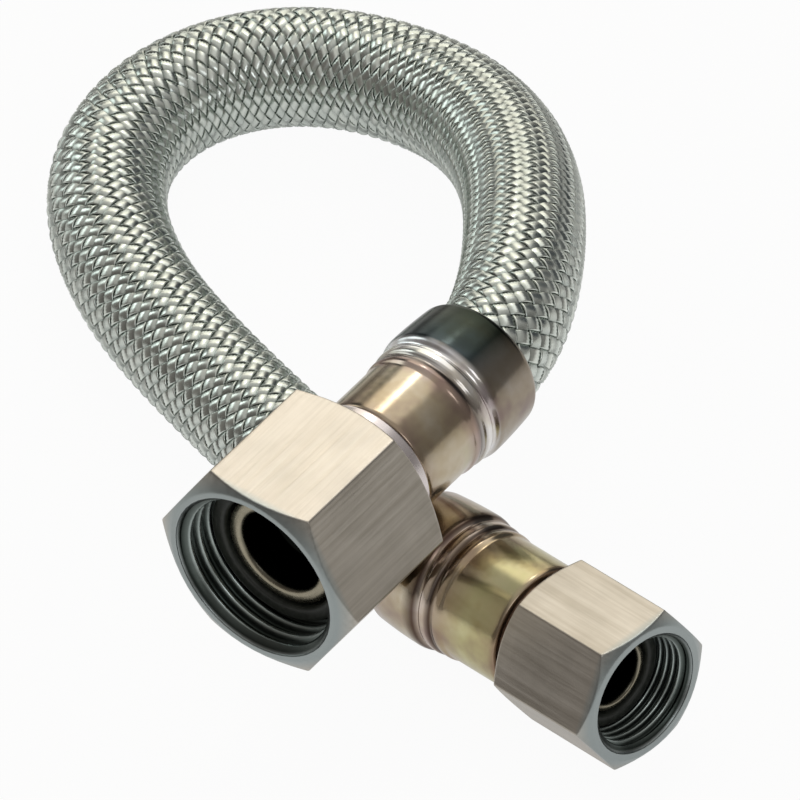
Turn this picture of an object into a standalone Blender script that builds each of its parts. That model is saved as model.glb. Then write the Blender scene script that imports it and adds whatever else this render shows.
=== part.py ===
"""Braided sink supply line, 12 inch size, lying on a flat surface in one crossed loop.

A 1/2 inch pipe-thread swivel nut is on the upper end and a 3/8 inch compression
swivel nut on the lower end. Between them a rubber tube under a steel braid is
held on two barbed stems by crimped ferrules. Sizes are in millimetres and become
metres when a mesh is made. Each fitting is drawn about its own Z axis, which
points out of the nut's mouth, and "back" is a distance behind the mouth.
"""

import math
from types import SimpleNamespace

import bmesh
import bpy
import numpy as np

MM = 0.001

# Hose
HOSE_RADIUS = 7.15
BRAID_WALL = 0.8
TUBE_RADIUS = 6.0
TUBE_WALL = 2.0

# Ferrule, the same on both ends
FERRULE_WALL = 0.45
CRIMP_RADIUS = 7.9
CRIMP_LENGTH = 9.6
SHOULDER_LENGTH = 3.5
BEAD_HEIGHT = 0.25
GROOVE_DEPTH = 0.15
BELL_RADIUS = 8.7
BELL_TAPER = 0.3
BELL_LENGTH = 6.4
MOUTH_ROLL = 1.1
LIP_LENGTH = 0.8
LIP_CORNER = 0.7

# Stem parts that are the same on both ends
WAIST_RADIUS = 4.3
TAIL_RADIUS = 3.4
TAIL_LENGTH = 17.0
BARB_DEPTH = 0.45
BARB_PITCH = 3.2
BARB_COUNT = 5
TAIL_BORE_RADIUS = 2.5
BORE_TAPER_LENGTH = 3.0
NOSE_ROUND = 0.45
EDGE_BREAK = 0.35

# Clearances between pieces that touch or turn in one another
SEAT_GAP = 0.3
RUN_GAP = 0.35
REST_GAP = 0.3
NOSE_SET_BACK = 0.3

# Nut forms shared by both ends
NUT_FACE_SHARE = 0.965
NUT_CHAMFER_SLOPE = math.tan(math.radians(30))
CUT_MARGIN = 2.0

# Upper fitting, 1/2 inch pipe thread
LARGE_NUT_ACROSS_FLATS = 24.0
LARGE_NUT_LENGTH = 18.9
LARGE_THREAD_RADIUS = 10.4
LARGE_MOUTH_RADIUS = 10.9
LARGE_BACK_WALL = 2.6
LARGE_WASHER_DEPTH = 4.7
LARGE_WASHER_RADIUS = 9.4
LARGE_WASHER_HOLE = 7.6
LARGE_WASHER_THICKNESS = 2.4
LARGE_HEAD_RADIUS = 9.2
LARGE_HEAD_LENGTH = 3.0
LARGE_NECK_RADIUS = 6.4
LARGE_HEAD_BORE = 5.3
LARGE_COLLAR_RADIUS = 8.3
LARGE_COLLAR_LENGTH = 3.3

# Lower fitting, 3/8 inch compression thread
SMALL_NUT_ACROSS_FLATS = 17.5
SMALL_NUT_LENGTH = 15.4
SMALL_THREAD_RADIUS = 7.15
SMALL_MOUTH_RADIUS = 7.6
SMALL_BACK_WALL = 2.2
SMALL_WASHER_DEPTH = 4.6
SMALL_WASHER_RADIUS = 6.4
SMALL_WASHER_HOLE = 5.0
SMALL_WASHER_THICKNESS = 2.0
SMALL_HEAD_RADIUS = 6.3
SMALL_HEAD_LENGTH = 2.4
SMALL_NECK_RADIUS = 4.9
SMALL_HEAD_BORE = 3.6
SMALL_COLLAR_RADIUS = 6.2
SMALL_COLLAR_LENGTH = 0.6

# Place of the two mouths on the surface, headings in degrees from +X
LARGE_MOUTH_X = -12.8
LARGE_MOUTH_Y = -21.7
LARGE_HEADING = -90.0
LARGE_NUT_TURN = -6.8
SMALL_MOUTH_X = 25.2
SMALL_MOUTH_Y = -0.45
SMALL_HEADING = -9.1
SMALL_NUT_TURN = 0.0
SMALL_AXIS_HEIGHT = max(SMALL_NUT_ACROSS_FLATS / 2, BELL_RADIUS)
BELL_END_RADIUS = BELL_RADIUS - BELL_TAPER
LARGE_AXIS_HEIGHT = SMALL_AXIS_HEIGHT + BELL_END_RADIUS + REST_GAP + CRIMP_RADIUS

# Free run of the hose from the lower ferrule round the loop to the upper one:
# x, y and how far the hose's underside stands above the surface
ROUTE = [
    (-23.3, 8.2, 1.4),
    (-32.1, 11.5, 0.9),
    (-40.8, 14.9, 0.4),
    (-49.3, 18.2, 0.2),
    (-58.0, 21.8, 0.1),
    (-66.3, 25.8, 0.05),
    (-74.1, 30.8, 0.05),
    (-81.0, 37.1, 0.05),
    (-85.8, 45.0, 0.05),
    (-87.3, 54.0, 0.05),
    (-84.7, 62.7, 0.05),
    (-78.2, 69.4, 0.15),
    (-69.5, 72.5, 0.6),
    (-60.3, 72.3, 1.8),
    (-51.7, 69.6, 3.9),
    (-44.0, 65.2, 6.4),
    (-37.1, 59.7, 9.1),
    (-30.8, 53.4, 11.8),
    (-25.1, 46.5, 14.4),
    (-19.9, 39.2, 16.5),
    (-15.5, 31.5, 17.8),
]

# Smoothness of the round forms
TURN_STEPS = 40
NUT_STEPS = 48
ARC_POINTS = 4
ROUTE_SAMPLES = 52
HOSE_BEVEL_RESOLUTION = 4


UPPER = SimpleNamespace(
    name="large",
    across_flats=LARGE_NUT_ACROSS_FLATS,
    nut_length=LARGE_NUT_LENGTH,
    thread_radius=LARGE_THREAD_RADIUS,
    mouth_radius=LARGE_MOUTH_RADIUS,
    back_wall=LARGE_BACK_WALL,
    washer_depth=LARGE_WASHER_DEPTH,
    washer_radius=LARGE_WASHER_RADIUS,
    washer_hole=LARGE_WASHER_HOLE,
    washer_thickness=LARGE_WASHER_THICKNESS,
    head_radius=LARGE_HEAD_RADIUS,
    head_length=LARGE_HEAD_LENGTH,
    neck_radius=LARGE_NECK_RADIUS,
    head_bore=LARGE_HEAD_BORE,
    collar_radius=LARGE_COLLAR_RADIUS,
    collar_length=LARGE_COLLAR_LENGTH,
    mouth=(LARGE_MOUTH_X, LARGE_MOUTH_Y, LARGE_AXIS_HEIGHT),
    heading=math.radians(LARGE_HEADING),
    nut_turn=math.radians(LARGE_NUT_TURN),
)
LOWER = SimpleNamespace(
    name="small",
    across_flats=SMALL_NUT_ACROSS_FLATS,
    nut_length=SMALL_NUT_LENGTH,
    thread_radius=SMALL_THREAD_RADIUS,
    mouth_radius=SMALL_MOUTH_RADIUS,
    back_wall=SMALL_BACK_WALL,
    washer_depth=SMALL_WASHER_DEPTH,
    washer_radius=SMALL_WASHER_RADIUS,
    washer_hole=SMALL_WASHER_HOLE,
    washer_thickness=SMALL_WASHER_THICKNESS,
    head_radius=SMALL_HEAD_RADIUS,
    head_length=SMALL_HEAD_LENGTH,
    neck_radius=SMALL_NECK_RADIUS,
    head_bore=SMALL_HEAD_BORE,
    collar_radius=SMALL_COLLAR_RADIUS,
    collar_length=SMALL_COLLAR_LENGTH,
    mouth=(SMALL_MOUTH_X, SMALL_MOUTH_Y, SMALL_AXIS_HEIGHT),
    heading=math.radians(SMALL_HEADING),
    nut_turn=math.radians(SMALL_NUT_TURN),
)
FERRULE_LENGTH = CRIMP_LENGTH + SHOULDER_LENGTH + BELL_LENGTH + MOUTH_ROLL
SHOULDER_STEP = SHOULDER_LENGTH / 5


def collar_back(fitting):
    """Distance behind the mouth where the stem's collar ends."""
    return fitting.nut_length + RUN_GAP + fitting.collar_length


def ferrule_front(fitting):
    return collar_back(fitting) + SEAT_GAP


def hose_front(fitting):
    """Where the hose's cut end stands inside the ferrule."""
    return ferrule_front(fitting) + LIP_LENGTH + SEAT_GAP


def ferrule_back(fitting):
    return ferrule_front(fitting) + FERRULE_LENGTH


def along_axis(fitting, back):
    """World point, in millimetres, at a distance behind the mouth on the fitting's axis."""
    x, y, z = fitting.mouth
    return np.array([x - back * math.cos(fitting.heading), y - back * math.sin(fitting.heading), z])


def clear_scene():
    for old in list(bpy.data.objects):
        bpy.data.objects.remove(old, do_unlink=True)


def make_collection(name):
    collection = bpy.data.collections.new(name)
    bpy.context.scene.collection.children.link(collection)
    return collection


def make_material(name, colour, roughness, metallic):
    material = bpy.data.materials.new(name)
    material.use_nodes = True
    shader = material.node_tree.nodes["Principled BSDF"]
    shader.inputs["Base Color"].default_value = (*colour, 1.0)
    shader.inputs["Roughness"].default_value = roughness
    shader.inputs["Metallic"].default_value = metallic
    return material


def arc(radius_at_centre, back_at_centre, size, start, end):
    """Points of a round corner in the profile plane, angles in degrees from straight outwards."""
    points = []
    for angle in np.radians(np.linspace(start, end, ARC_POINTS)):
        radius = radius_at_centre + size * math.cos(angle)
        back = back_at_centre + size * math.sin(angle)
        points.append((radius, back))
    return points


def turned(name, profile, steps, material, closed=True):
    """A solid of revolution about its Z axis from a profile of (radius, back) points."""
    count = len(profile)
    edges = [(i, i + 1) for i in range(count - 1)]
    if closed:
        edges.append((count - 1, 0))
    mesh = bpy.data.meshes.new(name)
    mesh.from_pydata([(radius * MM, 0.0, -back * MM) for radius, back in profile], edges, [])
    piece = bpy.data.objects.new(name, mesh)
    PARTS.objects.link(piece)
    screw = piece.modifiers.new("Turn", "SCREW")
    screw.axis = "Z"
    screw.steps = steps
    screw.render_steps = steps
    screw.use_merge_vertices = True
    screw.merge_threshold = 0.00001
    screw.use_smooth_shade = True
    if material is not None:
        mesh.materials.append(material)
    return piece


def as_cutter(piece):
    PARTS.objects.unlink(piece)
    CUTTERS.objects.link(piece)
    piece.hide_render = True
    piece.display_type = "WIRE"
    return piece


def fitting_axis(fitting):
    """Empty at the mouth's centre, its Z axis pointing out of the mouth."""
    empty = bpy.data.objects.new(fitting.name + "_axis", None)
    empty.location = [value * MM for value in fitting.mouth]
    empty.rotation_euler = (0.0, math.pi / 2, fitting.heading)
    PARTS.objects.link(empty)
    return empty


def nut(fitting, axis):
    """Hexagonal swivel nut: chamfered at both ends, threaded socket, wall behind it."""
    corner = fitting.across_flats / math.sqrt(3)
    face = fitting.across_flats / 2 * NUT_FACE_SHARE
    chamfer = (corner + CUT_MARGIN - face) * NUT_CHAMFER_SLOPE
    length = fitting.nut_length
    socket = length - fitting.back_wall
    hole = fitting.neck_radius + RUN_GAP

    mesh = bpy.data.meshes.new(fitting.name + "_nut")
    form = bmesh.new()
    bmesh.ops.create_cone(
        form, cap_ends=True, segments=6, radius1=corner * MM, radius2=corner * MM, depth=length * MM
    )
    bmesh.ops.translate(form, verts=form.verts, vec=(0.0, 0.0, -length / 2 * MM))
    form.to_mesh(mesh)
    form.free()
    piece = bpy.data.objects.new(fitting.name + "_nut", mesh)
    PARTS.objects.link(piece)
    mesh.materials.append(NICKEL)

    barrel = as_cutter(turned(fitting.name + "_nut_barrel", [
        (0.0, 0.0),
        (face, 0.0),
        (corner + CUT_MARGIN, chamfer),
        (corner + CUT_MARGIN, length - chamfer),
        (face, length),
        (0.0, length),
    ], NUT_STEPS, None, closed=False))
    bore = as_cutter(turned(fitting.name + "_nut_bore", [
        (0.0, -CUT_MARGIN),
        (fitting.mouth_radius + CUT_MARGIN, -CUT_MARGIN),
        (fitting.thread_radius, fitting.mouth_radius - fitting.thread_radius),
        (fitting.thread_radius, socket),
        (hole, socket),
        (hole, length + CUT_MARGIN),
        (0.0, length + CUT_MARGIN),
    ], NUT_STEPS, None, closed=False))
    for cutter, operation in ((barrel, "INTERSECT"), (bore, "DIFFERENCE")):
        cutter.parent = axis
        cut = piece.modifiers.new(cutter.name, "BOOLEAN")
        cut.operation = operation
        cut.solver = "EXACT"
        cut.object = cutter
    piece.parent = axis
    piece.rotation_euler = (0.0, 0.0, fitting.nut_turn)
    return piece


def washer(fitting, axis):
    """Flat sealing washer that the nut draws against the valve or tap tail."""
    front = fitting.washer_depth
    back = front + fitting.washer_thickness
    outer = fitting.washer_radius
    hole = fitting.washer_hole
    piece = turned(fitting.name + "_washer", [
        *arc(outer - EDGE_BREAK, front + EDGE_BREAK, EDGE_BREAK, -90, 0),
        (outer, back),
        (hole, back),
        (hole, front + EDGE_BREAK),
        (hole + EDGE_BREAK, front),
    ], TURN_STEPS, SEAL)
    piece.parent = axis
    return piece


def stem(fitting, axis):
    """One-piece tail: nose in the washer, head, neck through the nut, collar, barbs, bore."""
    nose_radius = fitting.washer_hole - SEAT_GAP
    nose_front = fitting.washer_depth + NOSE_SET_BACK
    nose_arc_back = nose_front + NOSE_ROUND
    head_front = fitting.washer_depth + fitting.washer_thickness + SEAT_GAP
    head_back = head_front + fitting.head_length
    collar_front = fitting.nut_length + RUN_GAP
    collar_end = collar_back(fitting)
    barbs_front = hose_front(fitting) + SEAT_GAP
    tail_end = barbs_front + TAIL_LENGTH
    barbs_start = tail_end - BARB_COUNT * BARB_PITCH
    profile = [
        *arc(fitting.head_bore + NOSE_ROUND, nose_arc_back, NOSE_ROUND, -180, -90),
        *arc(nose_radius - NOSE_ROUND, nose_arc_back, NOSE_ROUND, -90, 0),
        (nose_radius, head_front),
        *arc(fitting.head_radius - EDGE_BREAK, head_front + EDGE_BREAK, EDGE_BREAK, -90, 0),
        (fitting.head_radius, head_back),
        (fitting.neck_radius, head_back),
        (fitting.neck_radius, collar_front),
        *arc(fitting.collar_radius - EDGE_BREAK, collar_front + EDGE_BREAK, EDGE_BREAK, -90, 0),
        (fitting.collar_radius, collar_end - EDGE_BREAK),
        (fitting.collar_radius - EDGE_BREAK, collar_end),
        (WAIST_RADIUS, collar_end),
        (WAIST_RADIUS, barbs_front - SEAT_GAP - SEAT_GAP),
        (TAIL_RADIUS, barbs_front),
    ]
    for barb in range(BARB_COUNT):
        crest = barbs_start + barb * BARB_PITCH
        profile.append((TAIL_RADIUS, crest))
        profile.append((TAIL_RADIUS - BARB_DEPTH, crest + BARB_PITCH))
    profile += [
        (TAIL_BORE_RADIUS, tail_end),
        (TAIL_BORE_RADIUS, head_back + BORE_TAPER_LENGTH),
        (fitting.head_bore, head_back),
    ]
    piece = turned(fitting.name + "_stem", profile, TURN_STEPS, BRASS)
    piece.parent = axis
    return piece


def ferrule_outline():
    """Outer side of the ferrule as (radius, back from its front end), front to back.

    The shoulder climbs from the crimp by a bead, a groove, a band and a second groove.
    """
    shoulder = CRIMP_LENGTH + SHOULDER_LENGTH
    bell_end = shoulder + BELL_LENGTH
    bead_radius = CRIMP_RADIUS + BEAD_HEIGHT
    band_radius = (CRIMP_RADIUS + BELL_RADIUS) / 2
    return [
        *arc(CRIMP_RADIUS - LIP_CORNER, LIP_CORNER, LIP_CORNER, -90, 0),
        (CRIMP_RADIUS, CRIMP_LENGTH - SHOULDER_STEP),
        (bead_radius, CRIMP_LENGTH),
        (bead_radius - GROOVE_DEPTH, CRIMP_LENGTH + SHOULDER_STEP),
        (band_radius, CRIMP_LENGTH + 2 * SHOULDER_STEP),
        (band_radius, CRIMP_LENGTH + 3 * SHOULDER_STEP),
        (band_radius - GROOVE_DEPTH, CRIMP_LENGTH + 3.6 * SHOULDER_STEP),
        (BELL_RADIUS, shoulder),
        (BELL_RADIUS, shoulder + BELL_LENGTH / 3),
        (BELL_END_RADIUS, bell_end),
    ]


def ferrule(fitting, axis):
    """Crimped sleeve: lip in the stem's waist, crimped part, shoulder, bell, rolled mouth."""
    front = ferrule_front(fitting)
    outline = [(radius, front + back) for radius, back in ferrule_outline()]
    bell_end = front + FERRULE_LENGTH - MOUTH_ROLL
    mouth_inner = HOSE_RADIUS + SEAT_GAP
    mouth_drop = BELL_END_RADIUS - FERRULE_WALL - mouth_inner
    roll = []
    for angle in np.radians([30, 60, 90]):
        radius = BELL_END_RADIUS - mouth_drop * (1 - math.cos(angle))
        roll.append((radius, bell_end + MOUTH_ROLL * math.sin(angle)))
    crimp_inner = CRIMP_RADIUS - FERRULE_WALL
    bell_inner = BELL_RADIUS - FERRULE_WALL
    shoulder = front + CRIMP_LENGTH + SHOULDER_LENGTH
    inside = [
        (mouth_inner, bell_end + MOUTH_ROLL),
        (mouth_inner + mouth_drop / 2, bell_end + MOUTH_ROLL / 2),
        (BELL_END_RADIUS - FERRULE_WALL, bell_end),
        (bell_inner, shoulder + BELL_LENGTH / 3),
        (bell_inner, shoulder),
        (crimp_inner, front + CRIMP_LENGTH + 2 * SHOULDER_STEP),
        (crimp_inner, front + LIP_LENGTH),
        (WAIST_RADIUS + SEAT_GAP, front + LIP_LENGTH),
        (WAIST_RADIUS + SEAT_GAP, front),
    ]
    piece = turned(fitting.name + "_ferrule", outline + roll + inside, TURN_STEPS, STEEL)
    piece.parent = axis
    return piece


def smooth_run(points, start_direction, end_direction, samples):
    """Clamped cubic spline through the points, even in its chord length."""
    points = np.array(points, float)
    chord = np.linalg.norm(np.diff(points, axis=0), axis=1)
    count = len(points)
    matrix = np.zeros((count, count))
    right = np.zeros((count, 3))
    matrix[0, 0] = matrix[-1, -1] = 1.0
    right[0] = start_direction
    right[-1] = end_direction
    for i in range(1, count - 1):
        before, after = chord[i - 1], chord[i]
        matrix[i, i - 1:i + 2] = (after, 2 * (before + after), before)
        rise = after * (points[i] - points[i - 1]) / before
        fall = before * (points[i + 1] - points[i]) / after
        right[i] = 3 * (rise + fall)
    slopes = np.linalg.solve(matrix, right)
    knots = np.concatenate(([0.0], np.cumsum(chord)))
    places = np.linspace(0.0, knots[-1], samples)
    span = np.clip(np.searchsorted(knots, places, side="right") - 1, 0, count - 2)
    width = chord[span][:, None]
    share = (places - knots[span])[:, None] / width
    return (
        (2 * share**3 - 3 * share**2 + 1) * points[span]
        + (share**3 - 2 * share**2 + share) * width * slopes[span]
        + (3 * share**2 - 2 * share**3) * points[span + 1]
        + (share**3 - share**2) * width * slopes[span + 1]
    )


def hose_centreline():
    """Straight inside each ferrule, one smooth curve between them."""
    lower_end = along_axis(LOWER, ferrule_back(LOWER))
    upper_end = along_axis(UPPER, ferrule_back(UPPER))
    lower_way = np.array([-math.cos(LOWER.heading), -math.sin(LOWER.heading), 0.0])
    upper_way = np.array([math.cos(UPPER.heading), math.sin(UPPER.heading), 0.0])
    middle = [(x, y, HOSE_RADIUS + lift) for x, y, lift in ROUTE]
    free = smooth_run([lower_end, *middle, upper_end], lower_way, upper_way, ROUTE_SAMPLES)
    lower_in = [along_axis(LOWER, back) for back in np.linspace(hose_front(LOWER), ferrule_back(LOWER), 4)]
    upper_in = [along_axis(UPPER, back) for back in np.linspace(ferrule_back(UPPER), hose_front(UPPER), 4)]
    return np.vstack([lower_in[:-1], free, upper_in[1:]])


def hose_layer(name, radius, wall, material):
    """Hollow tube along the hose's centreline, open at both cut ends."""
    points = hose_centreline()
    curve = bpy.data.curves.new(name, "CURVE")
    curve.dimensions = "3D"
    curve.bevel_depth = radius * MM
    curve.bevel_resolution = HOSE_BEVEL_RESOLUTION
    spline = curve.splines.new("POLY")
    spline.points.add(len(points) - 1)
    for place, point in zip(spline.points, points):
        place.co = (*(point * MM), 1.0)
    piece = bpy.data.objects.new(name, curve)
    PARTS.objects.link(piece)
    curve.materials.append(material)
    shell = piece.modifiers.new("Wall", "SOLIDIFY")
    shell.thickness = wall * MM
    shell.offset = -1.0
    shell.use_even_offset = True
    return piece


clear_scene()
PARTS = make_collection("sink_supply_line")
CUTTERS = make_collection("cutters")
NICKEL = make_material("nickel_plate", (0.62, 0.60, 0.55), 0.32, 1.0)
BRASS = make_material("stem_brass", (0.55, 0.48, 0.36), 0.35, 1.0)
STEEL = make_material("ferrule_steel", (0.60, 0.55, 0.46), 0.22, 1.0)
SEAL = make_material("seal_rubber", (0.05, 0.055, 0.05), 0.60, 0.0)
TUBE = make_material("tube_rubber", (0.06, 0.06, 0.06), 0.70, 0.0)
BRAID = make_material("braid_steel", (0.58, 0.60, 0.56), 0.38, 1.0)

for end in (UPPER, LOWER):
    end_axis = fitting_axis(end)
    nut(end, end_axis)
    washer(end, end_axis)
    stem(end, end_axis)
    ferrule(end, end_axis)
hose_layer("inner_tube", TUBE_RADIUS, TUBE_WALL, TUBE)
hose_layer("steel_braid", HOSE_RADIUS, BRAID_WALL, BRAID)
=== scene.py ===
"""Braided sink supply line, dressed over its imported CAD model.

Two chamfered swivel nuts with cut threads, sealing washers, crimped ferrules and a
woven steel braid. Shapes are drawn in millimetres. Each fitting is drawn about its
own Z axis, which points out of the nut's mouth, and "back" is a distance behind it.
"""

import math
from types import SimpleNamespace

import bpy
import numpy as np
from mathutils import Euler, Matrix, Vector


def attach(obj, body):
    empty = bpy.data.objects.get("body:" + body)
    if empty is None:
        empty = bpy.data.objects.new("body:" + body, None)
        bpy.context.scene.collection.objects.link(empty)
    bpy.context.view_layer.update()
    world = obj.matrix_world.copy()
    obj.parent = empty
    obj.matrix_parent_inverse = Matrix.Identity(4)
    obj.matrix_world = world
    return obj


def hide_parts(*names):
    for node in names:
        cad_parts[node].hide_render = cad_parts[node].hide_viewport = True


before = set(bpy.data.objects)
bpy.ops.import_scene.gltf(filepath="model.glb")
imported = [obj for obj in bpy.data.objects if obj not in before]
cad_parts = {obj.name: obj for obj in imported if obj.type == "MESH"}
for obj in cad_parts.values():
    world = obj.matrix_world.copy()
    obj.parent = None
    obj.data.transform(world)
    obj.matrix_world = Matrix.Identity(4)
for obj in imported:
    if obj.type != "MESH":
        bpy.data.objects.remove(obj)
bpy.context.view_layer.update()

MM = 0.001
TAU = 2 * math.pi

# Camera

AIM = Vector((-0.0363, 0.0339, 0.0))
SIGHT = Vector((-0.5015, 0.5716, -0.6494)).normalized()
LEVEL = Vector((0.7517, 0.6595, 0.0)).normalized()
ROLL = math.radians(-7.0)
DISTANCE = 2.0
LENS_MM = 771.8
SENSOR_MM = 36.0


def add_camera():
    """Camera on the line through AIM against SIGHT, turned about that line by ROLL."""
    camera = bpy.data.cameras.new("camera")
    camera.lens = LENS_MM
    camera.sensor_width = SENSOR_MM
    camera.clip_end = 20.0
    rise = LEVEL.cross(SIGHT)
    right = math.cos(ROLL) * LEVEL + math.sin(ROLL) * rise
    up = math.cos(ROLL) * rise - math.sin(ROLL) * LEVEL
    turn = Matrix((right, up, -SIGHT)).transposed().to_4x4()
    holder = bpy.data.objects.new("camera", camera)
    holder.matrix_world = Matrix.Translation(AIM - DISTANCE * SIGHT) @ turn
    bpy.context.scene.collection.objects.link(holder)
    bpy.context.scene.camera = holder


# Sizes

HOSE_RADIUS = 7.15
FERRULE_WALL = 0.45
CRIMP_RADIUS = 7.9
CRIMP_LENGTH = 9.6
SHOULDER_LENGTH = 3.5
BEAD_HEIGHT = 0.25
GROOVE_DEPTH = 0.15
BELL_RADIUS = 8.7
BELL_TAPER = 0.3
BELL_END_RADIUS = BELL_RADIUS - BELL_TAPER
BELL_LENGTH = 6.4
MOUTH_ROLL = 1.1
LIP_LENGTH = 0.8
FERRULE_LENGTH = CRIMP_LENGTH + SHOULDER_LENGTH + BELL_LENGTH + MOUTH_ROLL
WAIST_RADIUS = 4.3
WAIST_SLOPE_LENGTH = 0.6
TAIL_RADIUS = 3.4
TAIL_LENGTH = 17.0
BARB_DEPTH = 0.45
BARB_PITCH = 3.2
BARB_EDGE = 0.05
BARB_COUNT = 5
TAIL_BORE_RADIUS = 2.5
BORE_TAPER_LENGTH = 3.0
SEAT_GAP = 0.3
RUN_GAP = 0.35
NOSE_SET_BACK = 0.3
LIP_HOLE_RADIUS = WAIST_RADIUS + SEAT_GAP
FACE_SHARE = 0.965
CHAMFER_SLOPE = math.tan(math.radians(30))
HEXAGON_CORNER_RADIUS = 0.28
COUNTERSINK_DEPTH = 0.6
THREAD_START = 0.35
THREAD_RELIEF_PITCHES = 0.8
THREAD_FADE_PITCHES = 0.35
THREAD_STEEPNESS = 1.45
THREAD_CREST_FLAT = 0.2

# How far each edge is rounded, in the order of its profile

NUT_ROUNDING = [0.1, 0.1, 0.1, 0.16, 0.16, 0.16, 0.16, 0.2, 0.15, 0.15]
SEAL_ROUNDING = [0.35, 0.2, 0.2, 0.6]
NOSE_ROUNDING = 0.8
STEM_ROUNDING = 0.14
SHEET_ROUNDING = 0.22

# Fineness of the meshes

CURVE_POINTS = 5
POINTS_PER_CORNER = CURVE_POINTS + 2
TURN_STEPS = 128
STEM_TURN_STEPS = 96
ROWS_PER_PITCH = 12

# The two fittings

UPPER = SimpleNamespace(
    name="large", body="large_swivel", mouth=(-12.8, -21.7, 25.35), heading=-90.0, nut_turn=-6.8,
    across_flats=24.0, nut_length=18.9, root=10.62, crest=9.72, pitch=1.814, mouth_radius=10.9,
    back_wall=2.6, washer_depth=4.7, washer_radius=9.4, washer_hole=7.6, washer_thickness=2.4,
    head_radius=9.2, head_length=3.0, neck_radius=6.4, head_bore=5.3, collar_radius=8.3,
    collar_length=3.3,
)
LOWER = SimpleNamespace(
    name="small", body="small_swivel", mouth=(25.2, -0.45, 8.75), heading=-9.1, nut_turn=0.0,
    across_flats=17.5, nut_length=15.4, root=7.2, crest=6.62, pitch=1.058, mouth_radius=7.6,
    back_wall=2.2, washer_depth=4.6, washer_radius=6.4, washer_hole=5.0, washer_thickness=2.0,
    head_radius=6.3, head_length=2.4, neck_radius=4.9, head_bore=3.6, collar_radius=6.2,
    collar_length=0.6,
)


def ferrule_front(fitting):
    """Distance of a ferrule's front face behind the mouth."""
    return fitting.nut_length + RUN_GAP + fitting.collar_length + SEAT_GAP


def along_axis(fitting, back):
    """World point in millimetres: the mouth less back times the heading's direction."""
    heading = math.radians(fitting.heading)
    x, y, z = fitting.mouth
    return np.array([x - back * math.cos(heading), y - back * math.sin(heading), z])


def placed(fitting, points):
    """Turn points drawn about the fitting's axis into world millimetres."""
    turn = np.array(Euler((0.0, math.pi / 2, math.radians(fitting.heading))).to_matrix())
    return points @ turn.T + np.array(fitting.mouth)


# Meshes


def outward(points, faces):
    """Turn every face over if the closed surface's signed volume comes out negative."""
    a, b, c, d = (points[faces[:, i]] for i in range(4))
    volume = np.einsum("ij,ij->i", a, np.cross(b, c)) + np.einsum("ij,ij->i", a, np.cross(c, d))
    return faces if volume.sum() > 0 else faces[:, ::-1]


def quad_piece(name, points, faces, material, body, caps=None):
    """One mesh from points in millimetres, quads, and optional end polygons of equal size."""
    faces = outward(points, faces)
    corners = faces.ravel()
    starts = np.arange(0, faces.size, 4)
    if caps is not None:
        starts = np.concatenate([starts, faces.size + np.arange(0, caps.size, caps.shape[1])])
        corners = np.concatenate([corners, caps.ravel()])
    mesh = bpy.data.meshes.new(name)
    mesh.vertices.add(len(points))
    mesh.vertices.foreach_set("co", (points * MM).astype(np.float32).ravel())
    mesh.loops.add(len(corners))
    mesh.loops.foreach_set("vertex_index", corners.astype(np.int32))
    mesh.polygons.add(len(starts))
    mesh.polygons.foreach_set("loop_start", starts.astype(np.int32))
    mesh.update(calc_edges=True)
    mesh.shade_smooth()
    mesh.materials.append(material)
    piece = bpy.data.objects.new(name, mesh)
    bpy.context.scene.collection.objects.link(piece)
    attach(piece, body)
    return piece


def ring_faces(rows, columns):
    """Quads of a grid that closes on itself both ways: row i to i + 1, column j to j + 1."""
    index = np.arange(rows * columns).reshape(rows, columns)
    down = np.roll(index, -1, axis=0)
    return np.stack([
        index, down, np.roll(down, -1, axis=1), np.roll(index, -1, axis=1)
    ], axis=-1).reshape(-1, 4)


def rounded(corners, reach):
    """Round each corner of closed profiles, an array of (corner, column, 2).

    A corner P between neighbours A and B becomes the quadratic Bezier curve from
    P + r(A - P) to P + r(B - P), where r moves by reach along each side but by no
    more than 0.42 of it. One more point on each side, at twice the reach but by no
    more than 0.47, keeps long sides flat.
    """
    curve_share, support_share = 0.42, 0.47
    before = np.roll(corners, 1, axis=0) - corners
    after = np.roll(corners, -1, axis=0) - corners
    length_before = np.linalg.norm(before, axis=2, keepdims=True)
    length_after = np.linalg.norm(after, axis=2, keepdims=True)
    reach = np.asarray(reach, float).reshape(-1, 1, 1)
    step_in = np.minimum(reach, curve_share * length_before) / length_before
    step_out = np.minimum(reach, curve_share * length_after) / length_after
    start = corners + step_in * before
    end = corners + step_out * after
    support_in = corners + np.minimum(2 * step_in, support_share) * before
    support_out = corners + np.minimum(2 * step_out, support_share) * after
    rows = [support_in]
    for t in np.linspace(0, 1, CURVE_POINTS):
        rows.append((1 - t) ** 2 * start + 2 * t * (1 - t) * corners + t ** 2 * end)
    rows.append(support_out)
    return np.stack(rows, axis=1).reshape(-1, corners.shape[1], 2)


def swept(profile, angles):
    """Points (r cos a, r sin a, -back) of a profile of (r, back), an array (row, column, 2)."""
    radius, back = profile[..., 0], profile[..., 1]
    return np.stack([radius * np.cos(angles), radius * np.sin(angles), -back], axis=-1)


def turned_piece(name, fitting, corners, reach, material, steps=TURN_STEPS):
    """Solid of revolution from a closed profile of (radius, back) corners, rounded by reach."""
    profile = np.repeat(np.array(corners, float)[:, None, :], steps, axis=1)
    profile = rounded(profile, np.full(len(corners), reach) if np.isscalar(reach) else reach)
    angles = np.arange(steps) * TAU / steps
    points = placed(fitting, swept(profile, angles).reshape(-1, 3))
    return quad_piece(name, points, ring_faces(len(profile), steps), material, "line")


# Nuts


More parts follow.
